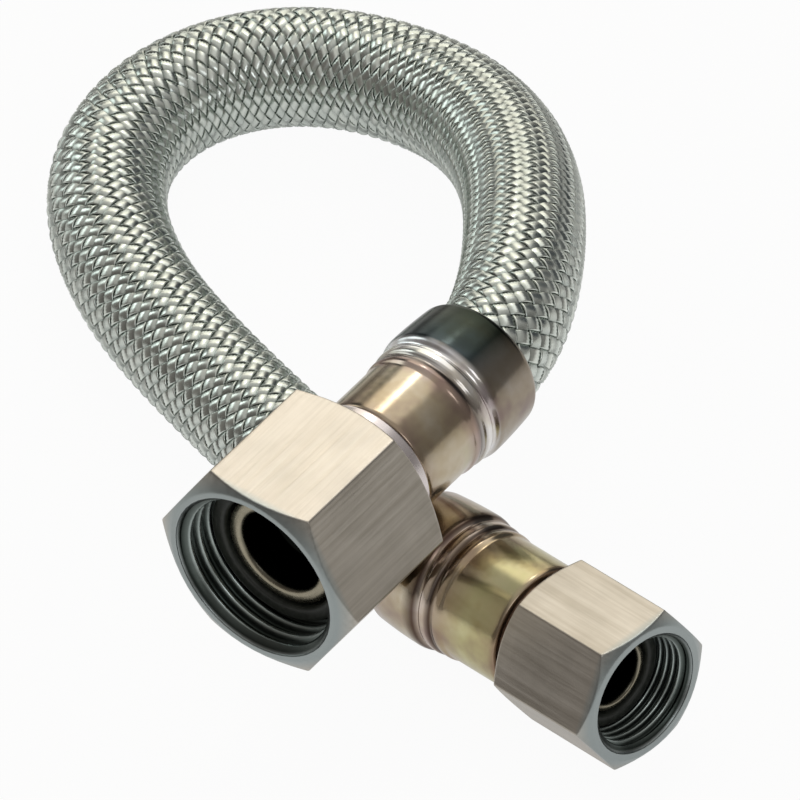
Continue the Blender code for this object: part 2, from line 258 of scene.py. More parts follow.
def hexagon(across_flats, corner_radius):
    """Angle and radius of a hexagon's outline with round corners.

    A flat is the line x = a with |y| up to (a - c) tan 30, and a corner is the arc of
    radius c about the point where the lines offset inwards by c meet. The six sides
    are copies turned by 60 degrees. The spots are closer together near the corners.
    """
    apothem = across_flats / 2
    half_side = math.radians(30)
    half = (apothem - corner_radius) * math.tan(half_side)
    spots = np.array([-1, -0.97, -0.9, -0.72, -0.5, -0.25, 0, 0.25, 0.5, 0.72, 0.9, 0.97, 1])
    flat = np.stack([np.full(len(spots), apothem), spots * half], axis=1)
    centre = (apothem - corner_radius) / math.cos(half_side)
    swing = half_side * np.array([0.5, 1.0, 1.5])
    bend = np.stack([
        centre * math.cos(half_side) + corner_radius * np.cos(swing),
        centre * math.sin(half_side) + corner_radius * np.sin(swing),
    ], axis=1)
    side = np.vstack([flat, bend])
    radius = np.tile(np.hypot(side[:, 0], side[:, 1]), 6)
    angle = np.arctan2(side[:, 1], side[:, 0])
    return (np.arange(6)[:, None] * TAU / 6 + angle).ravel(), radius


def thread_radius(back, angle, fitting):
    """Female thread: a V wave of the phase back / pitch + angle / turn, its crests cut flat."""
    phase = (back / fitting.pitch + angle / TAU) % 1.0
    wave = np.clip(np.abs(2 * phase - 1) * THREAD_STEEPNESS - THREAD_CREST_FLAT, 0.0, 1.0)
    wave = wave * wave * (3 - 2 * wave)
    return fitting.crest + (fitting.root - fitting.crest) * wave


def nut(fitting, material):
    """Nut as one closed surface over (profile row, outline column).

    The outside follows the hexagon's radius R: out along the mouth's face, down a
    chamfer cone whose depth is (R - face) tan 30, along the side and in again at the
    back. The inside is the thread, opened at the mouth by a 45 degree countersink. It
    takes the place of the profile's first two corners, so their points are left out.
    """
    angle, outline = hexagon(fitting.across_flats, HEXAGON_CORNER_RADIUS)
    face = fitting.across_flats / 2 * FACE_SHARE
    length = fitting.nut_length
    socket = length - fitting.back_wall
    hole = fitting.neck_radius + RUN_GAP
    chamfer = (outline - face) * CHAMFER_SLOPE
    same = np.ones_like(outline)
    relief = socket - fitting.pitch * THREAD_RELIEF_PITCHES
    corners = np.stack([np.stack([radius * same, back * same], axis=1) for radius, back in [
        (fitting.root, relief),
        (fitting.mouth_radius, COUNTERSINK_DEPTH),
        (fitting.mouth_radius, 0.0),
        (face, 0.0),
        (outline, chamfer),
        (outline, length - chamfer),
        (face, length),
        (hole, length),
        (hole, socket),
        (fitting.root, socket),
    ]])
    shell = rounded(corners, NUT_ROUNDING)[2 * POINTS_PER_CORNER:]
    thread_rows = int(relief / fitting.pitch * ROWS_PER_PITCH)
    back = np.linspace(relief, THREAD_START, thread_rows)[:, None] * same
    bore = thread_radius(back, angle, fitting)
    fade = np.clip((relief - back) / (THREAD_FADE_PITCHES * fitting.pitch), 0.0, 1.0)
    bore = fitting.root + (bore - fitting.root) * fade
    bore = np.maximum(bore, fitting.mouth_radius - back)
    cut = np.stack([bore, back], axis=-1)
    profile = np.concatenate([cut, shell])
    turned = angle + math.radians(fitting.nut_turn)
    points = placed(fitting, swept(profile, turned).reshape(-1, 3))
    piece = quad_piece(
        fitting.name + "_nut_cut", points, ring_faces(len(profile), len(angle)), material,
        fitting.body,
    )
    # Masks for the painted shade in the thread and the painted highlight on its crests.
    inside = np.zeros(profile.shape[:2])
    inside[: len(cut)] = 1.0
    mark(piece, "inside", inside.ravel())
    crest = np.zeros(profile.shape[:2])
    crest[: len(cut)] = (fitting.root - bore) / (fitting.root - fitting.crest)
    mark(piece, "crest", np.clip(crest, 0.0, 1.0).ravel())
    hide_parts(fitting.name + "_nut")


def mark(piece, name, values):
    """Store one number for each point of a piece."""
    layer = piece.data.attributes.new(name, "FLOAT", "POINT")
    layer.data.foreach_set("value", values.astype(np.float32))


# Ends


def washer(fitting, material):
    """Ring of rectangular section, its front inner edge well rounded by the nose."""
    front = fitting.washer_depth
    back = front + fitting.washer_thickness
    piece = turned_piece(fitting.name + "_seal", fitting, [
        (fitting.washer_radius, front),
        (fitting.washer_radius, back),
        (fitting.washer_hole, back),
        (fitting.washer_hole, front),
    ], SEAL_ROUNDING, material)
    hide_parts(fitting.name + "_washer")


def stem(fitting, material):
    """Nose, head, neck, collar and barbed tail in one profile, bored right through."""
    nose_radius = fitting.washer_hole - SEAT_GAP
    nose = fitting.washer_depth + NOSE_SET_BACK
    head = fitting.washer_depth + fitting.washer_thickness + SEAT_GAP
    neck = head + fitting.head_length
    collar = fitting.nut_length + RUN_GAP
    waist = collar + fitting.collar_length
    tail = ferrule_front(fitting) + LIP_LENGTH + 2 * SEAT_GAP
    end = tail + TAIL_LENGTH
    corners = [
        (nose_radius, nose),
        (nose_radius, head),
        (fitting.head_radius, head),
        (fitting.head_radius, neck),
        (fitting.neck_radius, neck),
        (fitting.neck_radius, collar),
        (fitting.collar_radius, collar),
        (fitting.collar_radius, waist),
        (WAIST_RADIUS, waist),
        (WAIST_RADIUS, tail - WAIST_SLOPE_LENGTH),
        (TAIL_RADIUS, tail),
    ]
    for barb in range(BARB_COUNT):
        start = end - (BARB_COUNT - barb) * BARB_PITCH
        corners += [(TAIL_RADIUS, start), (TAIL_RADIUS - BARB_DEPTH, start + BARB_PITCH - BARB_EDGE)]
    corners += [
        (TAIL_BORE_RADIUS, end),
        (TAIL_BORE_RADIUS, neck + BORE_TAPER_LENGTH),
        (fitting.head_bore, neck),
        (fitting.head_bore, nose),
    ]
    rounding = np.full(len(corners), STEM_ROUNDING)
    rounding[[0, -1]] = NOSE_ROUNDING
    piece = turned_piece(
        fitting.name + "_tail", fitting, corners, rounding, material, STEM_TURN_STEPS,
    )
    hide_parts(fitting.name + "_stem")


def ferrule(fitting, material):
    """Sleeve pressed from sheet: lip, crimped part, bead, groove, band, groove, bell, rolled mouth.

    The shoulder's corners are counted from the end of the crimp. The bell falls by a half
    parabola to its end, and the rolled mouth is a quarter ellipse.
    """
    front = ferrule_front(fitting)
    bead = CRIMP_RADIUS + BEAD_HEIGHT
    band = (CRIMP_RADIUS + BELL_RADIUS) / 2
    bell_start = CRIMP_LENGTH + SHOULDER_LENGTH
    shoulder = np.array([
        (CRIMP_RADIUS, -1.0),
        (bead, -0.45),
        (bead, 0.1),
        (bead - GROOVE_DEPTH, 0.55),
        (bead - GROOVE_DEPTH, 0.85),
        (band, 1.3),
        (band, 2.1),
        (band - GROOVE_DEPTH, 2.45),
        (band - GROOVE_DEPTH, 2.75),
        (BELL_RADIUS - 0.12, 3.3),
        (BELL_RADIUS, 3.9),
    ])
    shoulder[:, 1] += CRIMP_LENGTH
    share = np.linspace(0.25, 1, 8)
    bell = np.stack([BELL_RADIUS - BELL_TAPER * share**2, bell_start + share * BELL_LENGTH], axis=1)
    drop = BELL_END_RADIUS - HOSE_RADIUS - SEAT_GAP
    swing = np.linspace(0.15, 1, 7) * math.pi / 2
    roll = np.stack([
        BELL_END_RADIUS - drop * (1 - np.cos(swing)),
        bell_start + BELL_LENGTH + MOUTH_ROLL * np.sin(swing),
    ], axis=1)
    inside = [
        (BELL_END_RADIUS - FERRULE_WALL, bell_start + BELL_LENGTH),
        (BELL_RADIUS - FERRULE_WALL, bell_start),
        (CRIMP_RADIUS - FERRULE_WALL, CRIMP_LENGTH + 0.4 * SHOULDER_LENGTH),
        (CRIMP_RADIUS - FERRULE_WALL, LIP_LENGTH),
        (LIP_HOLE_RADIUS, LIP_LENGTH),
        (LIP_HOLE_RADIUS, 0.0),
    ]
    lip = [(CRIMP_RADIUS - 0.5, 0.0), (CRIMP_RADIUS - 0.12, 0.18), (CRIMP_RADIUS, 0.6)]
    corners = np.vstack([lip, shoulder, bell, roll, inside])
    corners[:, 1] += front
    piece = turned_piece(
        fitting.name + "_sleeve", fitting, corners, SHEET_ROUNDING, material,
    )
    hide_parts(fitting.name + "_ferrule")


# Hose

ROUTE = [
    (-0.0233, 0.0082, 0.00855),
    (-0.0321, 0.0115, 0.00805),
    (-0.0408, 0.0149, 0.00755),
    (-0.0493, 0.0182, 0.00735),
    (-0.0580, 0.0218, 0.00725),
    (-0.0663, 0.0258, 0.00720),
    (-0.0741, 0.0308, 0.00720),
    (-0.0810, 0.0371, 0.00720),
    (-0.0858, 0.0450, 0.00720),
    (-0.0873, 0.0540, 0.00720),
    (-0.0847, 0.0627, 0.00720),
    (-0.0782, 0.0694, 0.00730),
    (-0.0695, 0.0725, 0.00775),
    (-0.0603, 0.0723, 0.00895),
    (-0.0517, 0.0696, 0.01105),
    (-0.0440, 0.0652, 0.01355),
    (-0.0371, 0.0597, 0.01625),
    (-0.0308, 0.0534, 0.01895),
    (-0.0251, 0.0465, 0.02155),
    (-0.0199, 0.0392, 0.02365),
    (-0.0155, 0.0315, 0.02495),
]
HIDDEN_HOSE = FERRULE_LENGTH - LIP_LENGTH - SEAT_GAP
TUCKED_BRAID = 5.0
FREE_SAMPLES = 400
HIDDEN_SAMPLES = 30
CORE_RADIUS = 6.38
CORE_RINGS = 420
CORE_STEPS = 40
PLAITS = 16
BRAID_ANGLE = math.radians(55.0)
BRAID_RADIUS = 6.84
BRAID_SWING = 0.24
PLAIT_COVER = 0.94
WIRES = 4
CROWN_HEIGHT = 0.085
CROWN_ROUNDNESS = 0.8
EDGE_DROP = 0.05
UNDERSIDE_DEPTH = 0.2105
UNDERSIDE_SHARE = 0.86
WAVE_GAIN = 1.32
WAVE_FLATTENING = 0.75
RINGS_PER_CROSSING = 4
PLAITS_PER_PIECE = 4
TONE_SEED = 7


def smooth_run(points, start_direction, end_direction, samples):
    """Clamped cubic spline through the points, even in its chord length.

    The slopes solve the tridiagonal system that keeps the second derivative whole.
    """
    chord = np.linalg.norm(np.diff(points, axis=0), axis=1)
    count = len(points)
    inner = np.arange(1, count - 1)
    matrix = np.eye(count)
    right = np.zeros((count, 3))
    right[0], right[-1] = start_direction, end_direction
    before, after = chord[:-1], chord[1:]
    matrix[inner, inner - 1] = after
    matrix[inner, inner] = 2 * (before + after)
    matrix[inner, inner + 1] = before
    rise = (after / before)[:, None] * np.diff(points, axis=0)[:-1]
    fall = (before / after)[:, None] * np.diff(points, axis=0)[1:]
    right[inner] = 3 * (rise + fall)
    slopes = np.linalg.solve(matrix, right)
    knots = np.concatenate(([0.0], np.cumsum(chord)))
    places = np.linspace(0.0, knots[-1], samples)
    span = np.clip(np.searchsorted(knots, places, side="right") - 1, 0, count - 2)
    width = chord[span][:, None]
    share = (places - knots[span])[:, None] / width
    return (
        (2 * share**3 - 3 * share**2 + 1) * points[span]
        + (share**3 - 2 * share**2 + share) * width * slopes[span]
        + (3 * share**2 - 2 * share**3) * points[span + 1]
        + (share**3 - share**2) * width * slopes[span + 1]
    )


def hose_centreline():
    """Straight inside each ferrule, one smooth curve between them, in millimetres."""
    front = [ferrule_front(end) + FERRULE_LENGTH for end in (LOWER, UPPER)]
    lower_end = along_axis(LOWER, front[0])
    upper_end = along_axis(UPPER, front[1])
    lower_way = (lower_end - along_axis(LOWER, 0.0)) / front[0]
    upper_way = (along_axis(UPPER, 0.0) - upper_end) / front[1]
    middle = np.array(ROUTE) / MM
    knots = np.vstack([lower_end, middle, upper_end])
    free = smooth_run(knots, lower_way, upper_way, FREE_SAMPLES)
    hidden = np.linspace(HIDDEN_HOSE, 0.0, HIDDEN_SAMPLES)[:-1, None]
    return np.vstack([lower_end - hidden * lower_way, free, (upper_end + hidden * upper_way)[::-1]])


def carried_frames(line):
    """Distance along a line and a frame on it that turns as little as it can.

    Each normal is the last one, less its part along the new tangent.
    """
    tangent = np.gradient(line, axis=0)
    tangent /= np.linalg.norm(tangent, axis=1, keepdims=True)
    normal = np.zeros_like(line)
    normal[0] = np.array([0.0, 0.0, 1.0])
    for i in range(1, len(line)):
        carried = normal[i - 1] - tangent[i] * (normal[i - 1] @ tangent[i])
        normal[i] = carried / np.linalg.norm(carried)
    length = np.concatenate(([0.0], np.cumsum(np.linalg.norm(np.diff(line, axis=0), axis=1))))
    return length, normal, np.cross(tangent, normal)


def at_length(where, length, values):
    """Each column of values read at distances along the line, straight between points."""
    return np.stack([np.interp(where, length, values[:, i]) for i in range(3)], axis=-1)


def hose_point(line, frames, along, angle, radius):
    """Centre at a distance along, plus radius (cos a N + sin a B)."""
    length, normal, side = frames
    out = np.cos(angle)[..., None] * at_length(along, length, normal)
    out += np.sin(angle)[..., None] * at_length(along, length, side)
    out /= np.linalg.norm(out, axis=-1, keepdims=True)
    return at_length(along, length, line) + radius[..., None] * out


def tube_faces(tubes, rings, around):
    """Quads and end polygons of several tubes, each rings long and closed around."""
    index = np.arange(tubes * rings * around).reshape(tubes, rings, around)
    near, far = index[:, :-1], index[:, 1:]
    quads = np.stack([
        near, far, np.roll(far, -1, axis=2), np.roll(near, -1, axis=2)
    ], axis=-1).reshape(-1, 4)
    return quads, index[:, 0], index[:, -1]


def tubes_piece(name, points, material):
    """Closed tubes from an array of points (tube, ring, around, 3)."""
    tubes, rings, around = points.shape[:3]
    flat = points.reshape(-1, 3)
    quads, first, last = tube_faces(tubes, rings, around)
    turned_over = outward(flat, quads)[0, 0] != quads[0, 0]
    caps = np.vstack([first, last[:, ::-1]]) if turned_over else np.vstack([first[:, ::-1], last])
    return quad_piece(name, flat, quads, material, "line", caps)


def hose_core(line, frames, material):
    """Dark tube wall behind the wires: a circle carried along the centreline."""
    length = frames[0]
    along = np.linspace(0.0, length[-1], CORE_RINGS)[None, :, None]
    angle = (np.arange(CORE_STEPS) * TAU / CORE_STEPS)[None, None, :]
    along, angle = np.broadcast_arrays(along, angle)
    points = hose_point(line, frames, along, angle, np.full(along.shape, CORE_RADIUS))
    return tubes_piece("hose_core", points, material)


def plaits(line, frames, hand, first, count, material):
    """Flat plaits of wires on one hand of the weave, a few of them as one mesh.

    Plait i runs where angle = i turn / n + hand s tan(angle) / R. A point at w across
    it moves by -w sin along and w cos around. Its radius swings by the cosine c of
    pi (b + i), b being its place among the plaits of the other hand, so that it goes
    over one and under the next. The swing is flattened at its ends, as
    g c / sqrt(1 + f c c), and each wire adds a small round crown.
    """
    length = frames[0]
    step = TAU * BRAID_RADIUS / PLAITS
    crossing = step / (2 * math.tan(BRAID_ANGLE))
    start = HIDDEN_HOSE - TUCKED_BRAID
    stop = length[-1] - start
    rings = int((stop - start) / crossing * RINGS_PER_CROSSING)
    half = PLAIT_COVER * step * math.cos(BRAID_ANGLE) / 2
    top = np.linspace(-1.0, 1.0, 2 * WIRES + 1)
    across = np.concatenate([top, [UNDERSIDE_SHARE, -UNDERSIDE_SHARE]]) * half
    crown = np.abs(np.sin(math.pi * WIRES * (top + 1) / 2)) ** CROWN_ROUNDNESS
    upper = CROWN_HEIGHT * crown - EDGE_DROP * top ** 2
    lift = np.concatenate([upper, [-UNDERSIDE_DEPTH, -UNDERSIDE_DEPTH]])
    number = (first + np.arange(count))[:, None, None]
    centre = np.linspace(start, stop, rings)[None, :, None]
    width = across[None, None, :]
    along = centre - hand * width * math.sin(BRAID_ANGLE)
    around = number * step + hand * centre * math.tan(BRAID_ANGLE) + width * math.cos(BRAID_ANGLE)
    other = (around + hand * along * math.tan(BRAID_ANGLE)) / step
    swing = hand * np.cos(math.pi * (other + number))
    swing = swing * WAVE_GAIN / np.sqrt(1.0 + WAVE_FLATTENING * swing ** 2)
    radius = BRAID_RADIUS + BRAID_SWING * swing + lift
    along, around, radius = np.broadcast_arrays(along, around, radius)
    points = hose_point(line, frames, along, around / BRAID_RADIUS, radius)
    letter = "right" if hand > 0 else "left"
    piece = tubes_piece(f"plaits_{letter}_{first}", points, material)
    # Height of the weave, read by the braid's painted shade and painted highlight.
    mark(piece, "height", (0.5 + 0.5 * swing * np.ones_like(radius)).ravel())
    tone = np.random.default_rng(TONE_SEED + first + 40 * (hand > 0)).uniform(0, 1, count)
    mark(piece, "tone", (tone[:, None, None] * np.ones_like(radius)).ravel())
    return piece


# Finishes and painted light

OWN_WHITE = 0.95
FLOOR_IN_METAL = (0.55, 0.10)
FLOOR_FADE = (0.05, 0.19)
# Painted shade in a stem's bore and a painted highlight on its collar behind the nut.
BORE_PAINTED_SHADE = (0.012, 0.014, 0.012)
COLLAR_PAINTED_HIGHLIGHT = (0.80, 0.74, 0.74)
# Painted reflection on the face round a nut's mouth, and the depths over which it fades.
MOUTH_FACE_PAINTED_REFLECTION = (0.36, 0.40, 0.40)
MOUTH_FACE_DEPTHS = (1.4, 0.2)
BORE_EDGE = 0.4
COLLAR_EDGE = 1.0
# Along a ferrule from its front end to its mouth: the passivation's tint, with painted shade in the
# grooves, a painted highlight on the band between them, and a painted dark reflection over the bell.
UPPER_TINT_AND_PAINTED_LIGHT = [
    (0.0, (0.46, 0.39, 0.35)), (0.12, (0.58, 0.52, 0.44)), (0.36, (0.58, 0.52, 0.44)),
    (0.45, (0.46, 0.37, 0.37)), (0.485, (0.20, 0.17, 0.17)), (0.545, (0.92, 0.93, 1.0)),
    (0.62, (0.84, 0.86, 0.98)), (0.655, (0.06, 0.08, 0.10)), (0.72, (0.05, 0.07, 0.08)),
    (0.88, (0.045, 0.056, 0.05)), (1.0, (0.02, 0.028, 0.022)),
]
# Painted reflection on the upper bell's side that faces +X, lighter than the painted dark of the
# rest of the bell.
BELL_SIDE_PAINTED_REFLECTION = (0.40, 0.365, 0.345)
BELL_SIDE_BEYOND = (4.5, 8.0)
BELL_EDGE = 0.6
# The lower ferrule's tint, with painted shade in the grooves and a painted highlight on the band
# between them.
LOWER_TINT_AND_PAINTED_LIGHT = [
    (0.0, (0.40, 0.30, 0.26)), (0.05, (0.58, 0.54, 0.36)), (0.25, (0.64, 0.62, 0.40)),
    (0.42, (0.56, 0.48, 0.38)), (0.475, (0.50, 0.42, 0.36)), (0.51, (0.10, 0.07, 0.06)),
    (0.545, (0.70, 0.62, 0.60)), (0.585, (0.68, 0.60, 0.58)), (0.62, (0.12, 0.08, 0.07)),
    (0.70, (0.60, 0.54, 0.46)), (1.0, (0.50, 0.42, 0.42)),
]


def node(tree, kind, **values):
    """Add a shader node and set its plain properties and unlinked inputs by name."""
    made = tree.nodes.new(kind)
    for name, value in values.items():
        if name in made.inputs:
            made.inputs[name].default_value = value
        else:
            setattr(made, name, value)
    return made


def new_group(name, inputs, outputs):
    """Shader group with float or vector inputs and outputs, and its two end nodes."""
    group = bpy.data.node_groups.new(name, "ShaderNodeTree")
    for label, kind, default in inputs:
        socket = group.interface.new_socket(label, in_out="INPUT", socket_type=kind)
        if default is not None:
            socket.default_value = default
    for label, kind in outputs:
        group.interface.new_socket(label, in_out="OUTPUT", socket_type=kind)
    return group, group.nodes.new("NodeGroupInput"), group.nodes.new("NodeGroupOutput")


def drawn_lines_group():
    """Fine lines along X: noise on coordinates pressed flat along X, with a cloudy mask."""
    group, entry, leave = new_group(
        "drawn_lines",
        [("Vector", "NodeSocketVector", None), ("Fineness", "NodeSocketFloat", 900.0)],
        [("Lines", "NodeSocketFloat"), ("Clouds", "NodeSocketFloat")],
    )
    link = group.links.new
    press = node(group, "ShaderNodeVectorMath", operation="MULTIPLY")
    press.inputs[1].default_value = (0.035, 1.0, 1.0)
    link(entry.outputs["Vector"], press.inputs[0])
    fine = node(group, "ShaderNodeTexNoise", Detail=3.0, Roughness=0.6)
    link(press.outputs[0], fine.inputs["Vector"])
    link(entry.outputs["Fineness"], fine.inputs["Scale"])
    link(fine.outputs["Fac"], leave.inputs["Lines"])
    cloud = node(group, "ShaderNodeTexNoise", Scale=160.0, Detail=3.0, Roughness=0.55)
    link(entry.outputs["Vector"], cloud.inputs["Vector"])
    link(cloud.outputs["Fac"], leave.inputs["Clouds"])
    return group


def grain_group():
    """Even cloudy grain: noise of a given scale and detail."""
    group, entry, leave = new_group(
        "grain",
        [
            ("Vector", "NodeSocketVector", None),
            ("Scale", "NodeSocketFloat", 900.0),
            ("Detail", "NodeSocketFloat", 3.0),
        ],
        [("Grain", "NodeSocketFloat")],
    )
    noise = group.nodes.new("ShaderNodeTexNoise")
    for label in ("Vector", "Scale", "Detail"):
        group.links.new(entry.outputs[label], noise.inputs[label])
    group.links.new(noise.outputs["Fac"], leave.inputs["Grain"])
    return group


def place_group(tree, group):
    """Place a shader group in a material's tree."""
    made = tree.nodes.new("ShaderNodeGroup")
    made.node_tree = group
    return made


def grain_on(tree, group, scale, detail):
    """The grain on Object coordinates."""
    place = tree.nodes.new("ShaderNodeTexCoord")
    grain = place_group(tree, group)
    grain.inputs["Scale"].default_value = scale
    grain.inputs["Detail"].default_value = detail
    tree.links.new(place.outputs["Object"], grain.inputs["Vector"])
    return grain.outputs["Grain"]


def ramp(tree, source, stops):
    """Colour ramp from (place, colour) stops, fed by one output."""
    made = tree.nodes.new("ShaderNodeValToRGB")
    elements = made.color_ramp.elements
    elements[0].position, elements[-1].position = stops[0][0], stops[-1][0]
    elements[0].color, elements[-1].color = (*stops[0][1], 1), (*stops[-1][1], 1)
    for place, colour in stops[1:-1]:
        elements.new(place).color = (*colour, 1)
    tree.links.new(source, made.inputs["Fac"])
    return made.outputs["Color"]


def spread(tree, source, low, high):
    """Map 0..1 to low..high."""
    made = node(tree, "ShaderNodeMapRange")
    made.inputs["To Min"].default_value = low
    made.inputs["To Max"].default_value = high
    tree.links.new(source, made.inputs["Value"])
    return made.outputs["Result"]


def new_material(name, roughness, metallic):
    """Material with its tree and its Principled shader."""
    material = bpy.data.materials.new(name)
    material.use_nodes = True
    tree = material.node_tree
    shader = tree.nodes["Principled BSDF"]
    shader.inputs["Roughness"].default_value = roughness
    shader.inputs["Metallic"].default_value = metallic
    return material, tree, shader


def axis_coordinates(tree, heading):
    """Object coordinates turned so that X runs along a fitting's axis."""
    place = tree.nodes.new("ShaderNodeTexCoord")
    turn = node(tree, "ShaderNodeMapping", vector_type="POINT")
    turn.inputs["Rotation"].default_value = (0.0, 0.0, -math.radians(heading))
    tree.links.new(place.outputs["Object"], turn.inputs["Vector"])
    return turn.outputs["Vector"]


def lines_on(tree, group, fitting, fineness):
    """The drawn lines, laid along a fitting's axis."""
    lines = place_group(tree, group)
    lines.inputs["Fineness"].default_value = fineness
    tree.links.new(axis_coordinates(tree, fitting.heading), lines.inputs["Vector"])
    return lines


def axis_places(tree, fitting):
    """Distance behind a fitting's mouth and from its axis, in metres, from Object coordinates."""
    place = tree.nodes.new("ShaderNodeTexCoord")
    heading = math.radians(fitting.heading)
    backwards = (-math.cos(heading), -math.sin(heading), 0.0)
    away = node(tree, "ShaderNodeVectorMath", operation="SUBTRACT")
    away.inputs[1].default_value = [value * MM for value in fitting.mouth]
    tree.links.new(place.outputs["Object"], away.inputs[0])
    back = node(tree, "ShaderNodeVectorMath", operation="DOT_PRODUCT")
    back.inputs[1].default_value = backwards
    tree.links.new(away.outputs[0], back.inputs[0])
    across = node(tree, "ShaderNodeVectorMath", operation="CROSS_PRODUCT")
    across.inputs[1].default_value = backwards
    tree.links.new(away.outputs[0], across.inputs[0])
    radius = node(tree, "ShaderNodeVectorMath", operation="LENGTH")
    tree.links.new(across.outputs[0], radius.inputs[0])
    return back.outputs["Value"], radius.outputs["Value"]


def share_between(tree, source, low, high):
    """0 below low, 1 above high, straight in between."""
    made = node(tree, "ShaderNodeMapRange")
    made.inputs["From Min"].default_value = low
    made.inputs["From Max"].default_value = high
    tree.links.new(source, made.inputs["Value"])
    return made.outputs["Result"]


def mixed(tree, share, first, second, kind="MIX"):
    """Blend of two colours, each an output or a plain colour, by a share."""
    made = node(tree, "ShaderNodeMix", data_type="RGBA", blend_type=kind)
    for label, value in (("Factor", share), ("A", first), ("B", second)):
        if isinstance(value, bpy.types.NodeSocket):
            tree.links.new(value, made.inputs[label])
        else:
            made.inputs[label].default_value = value if label == "Factor" else (*value, 1.0)
    return made.outputs["Result"]


def bump(tree, shader, height, distance, strength):
    """Feed a height in metres into the shader's Normal."""
    made = node(tree, "ShaderNodeBump", Distance=distance, Strength=strength)
    tree.links.new(height, made.inputs["Height"])
    tree.links.new(made.outputs["Normal"], shader.inputs["Normal"])


def nickel(name, fitting, lines_group):
    """Satin nickel plate: drawn lines, soft clouds, a painted reflection that greys the face
    round the mouth, and painted shade in the thread with a painted highlight on its crests.
    """
    material, tree, shader = new_material(name, 0.36, 1.0)
    lines = lines_on(tree, lines_group, fitting, 1500.0)
    body = ramp(tree, lines.outputs["Clouds"], [
        (0.30, (0.52, 0.485, 0.43)), (0.55, (0.58, 0.54, 0.48)), (0.75, (0.62, 0.58, 0.52)),
    ])
    streak = ramp(tree, lines.outputs["Lines"], [
        (0.35, (0.80, 0.79, 0.77)), (0.62, (1.0, 1.0, 1.0)),
    ])
    outside = mixed(tree, 1.0, body, streak, "MULTIPLY")
    # Painted reflection: the face round the mouth is painted in a greyer, cooler colour.
    deep, shallow = (depth * MM for depth in MOUTH_FACE_DEPTHS)
    near_mouth = share_between(tree, axis_places(tree, fitting)[0], deep, shallow)
    outside = mixed(tree, near_mouth, outside, MOUTH_FACE_PAINTED_REFLECTION)
    # Painted shade in the thread, darkest at its roots, with a painted highlight on its crests.
    crest = node(tree, "ShaderNodeAttribute", attribute_name="crest")
    thread = ramp(tree, crest.outputs["Fac"], [
        (0.0, (0.035, 0.045, 0.04)), (0.7, (0.14, 0.165, 0.155)), (1.0, (0.55, 0.62, 0.60)),
    ])
    inside = node(tree, "ShaderNodeAttribute", attribute_name="inside")
    tree.links.new(mixed(tree, inside.outputs["Fac"], outside, thread), shader.inputs["Base Color"])
    tree.links.new(spread(tree, lines.outputs["Lines"], 0.26, 0.42), shader.inputs["Roughness"])
    bump(tree, shader, lines.outputs["Lines"], distance=0.04 * MM, strength=0.5)
    return material


def chromate_with_painted_light(name, fitting, stops, lines_group):
    """Polished steel under a thin passivation whose colour goes from place to place, with painted
    light.

    The stops run from the ferrule's front end to its mouth, and olive and brown clouds lie over
    them. The stops hold the passivation's tint, painted shade in the grooves and a painted
    highlight on the band between them. On the upper ferrule the bell is a painted dark
    reflection, and the bell is painted browner on the side that faces +X.
    """
    material, tree, shader = new_material(name, 0.2, 1.0)
    lines = lines_on(tree, lines_group, fitting, 700.0)
    front = ferrule_front(fitting) * MM
    back = axis_places(tree, fitting)[0]
    along = ramp(tree, share_between(tree, back, front, front + FERRULE_LENGTH * MM), stops)
    clouds = ramp(tree, lines.outputs["Clouds"], [
        (0.32, (0.66, 0.56, 0.52)), (0.45, (0.86, 0.80, 0.66)), (0.58, (1.0, 0.98, 0.90)),
        (0.72, (0.92, 0.94, 0.80)),
    ])
    # Painted reflection: the upper bell is painted browner on its side that faces +X.
    if fitting is UPPER:
        place = tree.nodes.new("ShaderNodeTexCoord")
        split = tree.nodes.new("ShaderNodeSeparateXYZ")
        tree.links.new(place.outputs["Object"], split.inputs[0])
        near, far = ((fitting.mouth[0] + beyond) * MM for beyond in BELL_SIDE_BEYOND)
        side = share_between(tree, split.outputs["X"], near, far)
        bell = front + (CRIMP_LENGTH + SHOULDER_LENGTH) * MM
        onto_bell = share_between(tree, back, bell - BELL_EDGE * MM, bell)
        both = node(tree, "ShaderNodeMath", operation="MULTIPLY")
        tree.links.new(side, both.inputs[0])
        tree.links.new(onto_bell, both.inputs[1])
        along = mixed(tree, both.outputs[0], along, BELL_SIDE_PAINTED_REFLECTION)
    body = mixed(tree, 1.0, along, clouds, "MULTIPLY")
    tree.links.new(body, shader.inputs["Base Color"])
    tree.links.new(spread(tree, lines.outputs["Lines"], 0.12, 0.26), shader.inputs["Roughness"])
    bump(tree, shader, lines.outputs["Clouds"], distance=0.2 * MM, strength=0.35)
    return material


def tail_metal(name, fitting, group):
    """Nickelled brass of a stem: a light grain, painted shade in the bore and a painted highlight on
    the collar.
    """
    material, tree, shader = new_material(name, 0.25, 1.0)
    grain = grain_on(tree, group, 900.0, 2.0)
    metal = ramp(tree, grain, [(0.3, (0.33, 0.30, 0.225)), (0.7, (0.40, 0.365, 0.28))])
    rim = fitting.head_bore * MM
    nut_back = fitting.nut_length * MM
    back, radius = axis_places(tree, fitting)
    # Painted highlight on the collar behind the nut.
    behind = share_between(tree, back, nut_back - COLLAR_EDGE * MM, nut_back)
    metal = mixed(tree, behind, metal, COLLAR_PAINTED_HIGHLIGHT)
    # Painted shade inside the bore.
    beyond_bore = share_between(tree, radius, rim, rim + BORE_EDGE * MM)
    body = mixed(tree, beyond_bore, BORE_PAINTED_SHADE, metal)
    tree.links.new(body, shader.inputs["Base Color"])
    tree.links.new(spread(tree, grain, 0.2, 0.34), shader.inputs["Roughness"])
    return material


